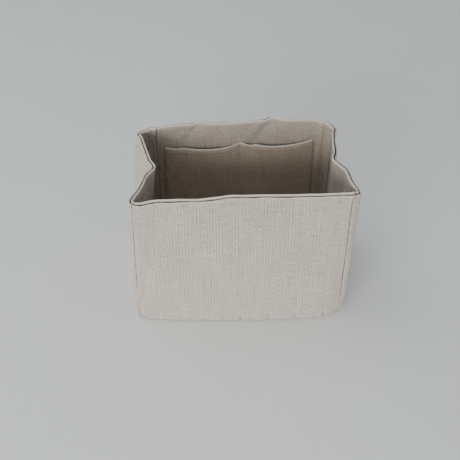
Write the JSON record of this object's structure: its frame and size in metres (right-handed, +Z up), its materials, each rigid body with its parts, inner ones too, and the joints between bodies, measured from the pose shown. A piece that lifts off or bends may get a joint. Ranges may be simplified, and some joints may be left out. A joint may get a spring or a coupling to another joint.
{
  "type": "fabric organizer insert",
  "caption": "Open-topped padded canvas organizer box with inward-folding side gussets, a double slip pocket on the back wall and a flat side pocket.",
  "frame": {"origin": "middle of the base's underside, between the front and back walls", "axes": "+X to the right seen from the front, +Y towards the back wall with the slip pocket, +Z up to the open rim"},
  "size_m": [0.25, 0.177, 0.181],
  "materials": {
    "canvas_outer": "ecru slub canvas with fine vertical ribs",
    "canvas_lining": "the same ecru canvas as lining, soft folds",
    "canvas_pocket": "ecru canvas pocket panels with a turned hem",
    "padding": "white needled fleece interlining",
    "board": "stiff pressed felt board",
    "thread": "twisted polyester sewing thread, ecru"
  },
  "bodies": {
    "root": {"outer_front_panel": "canvas_outer", "outer_back_panel": "canvas_outer", "outer_base_panel": "canvas_outer", "front_padding": "padding", "back_padding": "padding", "base_board": "board", "lining_front_panel": "canvas_lining", "lining_back_panel": "canvas_lining", "lining_base_panel": "canvas_lining", "rear_slip_pocket": "canvas_pocket", "pocket_hem_thread": "thread", "pocket_divider_thread": "thread", "pocket_side_thread": "thread", "front_rim_thread": "thread", "back_rim_thread": "thread", "corner_thread_front_left": "thread", "corner_thread_front_right": "thread", "corner_thread_back_left": "thread", "corner_thread_back_right": "thread", "left_base_thread": "thread", "right_base_thread": "thread", "lining_base_thread": "thread"},
    "left_gusset": {"outer_left_gusset": "canvas_outer", "left_gusset_padding": "padding", "lining_left_gusset": "canvas_lining", "left_side_pocket": "canvas_pocket", "left_rim_thread": "thread", "side_pocket_hem_thread": "thread"},
    "right_gusset": {"outer_right_gusset": "canvas_outer", "right_gusset_padding": "padding", "lining_right_gusset": "canvas_lining", "right_rim_thread": "thread"}
  },
  "joints": [
    {"name": "left_gusset_fold", "type": "hinge", "parent": "root", "child": "left_gusset", "pos_m": [-0.119, 0, 0.0045], "axis": [0, -1, 0], "range_deg": [-4, 8]},
    {"name": "right_gusset_fold", "type": "hinge", "parent": "root", "child": "right_gusset", "pos_m": [0.119, 0, 0.0045], "axis": [0, 1, 0], "range_deg": [-4, 6]}
  ]
}
